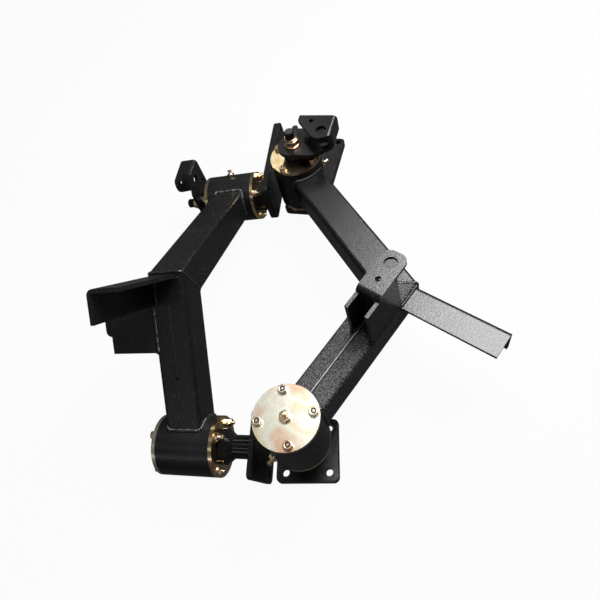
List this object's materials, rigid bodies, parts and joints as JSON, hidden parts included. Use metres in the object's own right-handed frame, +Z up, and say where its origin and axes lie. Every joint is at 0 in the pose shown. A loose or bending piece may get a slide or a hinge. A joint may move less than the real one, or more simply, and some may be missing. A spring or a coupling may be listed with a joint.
{
  "type": "greased pivot arm pair",
  "caption": "Pair of bent square-tube pivot arms with greased end housings, a square bolt-on flange, a long mounting plate, a clevis and an angle peg on each",
  "frame": {"origin": "middle of the underside of the flat arm's square flange", "axes": "+Z up along the flat arm's pivots, +Y from its near pivot to its far pivot, +X towards the side its bend stands out"},
  "size_m": [0.6581, 0.8176, 0.406],
  "materials": {
    "black_coat": "satin black powder coat with orange peel and worn edges",
    "yellow_zinc": "yellow chromated zinc, faintly iridescent",
    "bearing_steel": "ground bearing steel",
    "plated_nut": "bright zinc plate",
    "seal_rubber": "smooth nitrile rubber"
  },
  "bodies": {
    "flat_mount": {"flat_near_spindle": "black_coat", "flat_square_flange": "black_coat", "flat_near_bearing_cones": "bearing_steel", "flat_near_castle_nut": "plated_nut"},
    "flat_arm": {"flat_near_leg": "black_coat", "flat_far_leg": "black_coat", "flat_near_housing": "black_coat", "flat_far_housing": "black_coat", "flat_near_cap": "yellow_zinc", "flat_near_end_plate": "yellow_zinc", "flat_far_cap": "yellow_zinc", "flat_far_end_plate": "yellow_zinc", "flat_near_screws": "yellow_zinc", "flat_far_screws": "yellow_zinc", "flat_near_bearing_cups": "bearing_steel", "flat_far_bearing_cups": "bearing_steel", "flat_near_seals": "seal_rubber", "flat_far_seals": "seal_rubber", "flat_cap_plug": "yellow_zinc", "flat_grease_nipples": "yellow_zinc", "flat_clevis_bracket": "black_coat", "flat_peg": "black_coat"},
    "flat_far_mount": {"flat_far_spindle": "black_coat", "flat_long_plate": "black_coat", "flat_far_bearing_cones": "bearing_steel", "flat_spacer_sleeve": "bearing_steel", "flat_lever": "black_coat", "flat_lever_washer": "yellow_zinc", "flat_lever_nut": "yellow_zinc"},
    "standing_mount": {"standing_near_spindle": "black_coat", "standing_square_flange": "black_coat", "standing_near_bearing_cones": "bearing_steel", "standing_near_castle_nut": "plated_nut"},
    "standing_arm": {"standing_near_leg": "black_coat", "standing_far_leg": "black_coat", "standing_near_housing": "black_coat", "standing_far_housing": "black_coat", "standing_near_cap": "yellow_zinc", "standing_near_end_plate": "yellow_zinc", "standing_far_cap": "yellow_zinc", "standing_far_end_plate": "yellow_zinc", "standing_near_screws": "yellow_zinc", "standing_far_screws": "yellow_zinc", "standing_near_bearing_cups": "bearing_steel", "standing_far_bearing_cups": "bearing_steel", "standing_near_seals": "seal_rubber", "standing_far_seals": "seal_rubber", "standing_cap_plug": "yellow_zinc", "standing_grease_nipples": "yellow_zinc", "standing_clevis_bracket": "black_coat", "standing_peg": "black_coat"},
    "standing_far_mount": {"standing_far_spindle": "black_coat", "standing_long_plate": "black_coat", "standing_far_bearing_cones": "bearing_steel", "standing_spacer_sleeve": "bearing_steel", "standing_lever": "black_coat", "standing_lever_washer": "yellow_zinc", "standing_lever_nut": "yellow_zinc"}
  },
  "joints": [
    {"name": "flat_arm_swing", "type": "hinge", "parent": "flat_mount", "child": "flat_arm", "pos_m": [0, 0, 0.132], "axis": [0, 0, 1], "range_deg": [-60, 0]},
    {"name": "flat_long_plate_turn", "type": "hinge", "parent": "flat_arm", "child": "flat_far_mount", "pos_m": [0, 0.55, 0.132], "axis": [0, 0, 1], "range_deg": [-120, 10]},
    {"name": "standing_arm_lift", "type": "slide", "parent": "flat_mount", "child": "standing_mount", "axis": [0, 0, 1], "range_m": [0, 0.3]},
    {"name": "standing_arm_swing", "type": "hinge", "parent": "standing_mount", "child": "standing_arm", "pos_m": [-0.1945, 0.0004, 0.0565], "axis": [0.9961, -0.0736, 0.0495], "range_deg": [0, 60]},
    {"name": "standing_long_plate_turn", "type": "hinge", "parent": "standing_arm", "child": "standing_far_mount", "pos_m": [-0.15571, 0.54802, 0.08978], "axis": [0.9961, -0.0736, 0.0495], "range_deg": [-10, 75]}
  ]
}
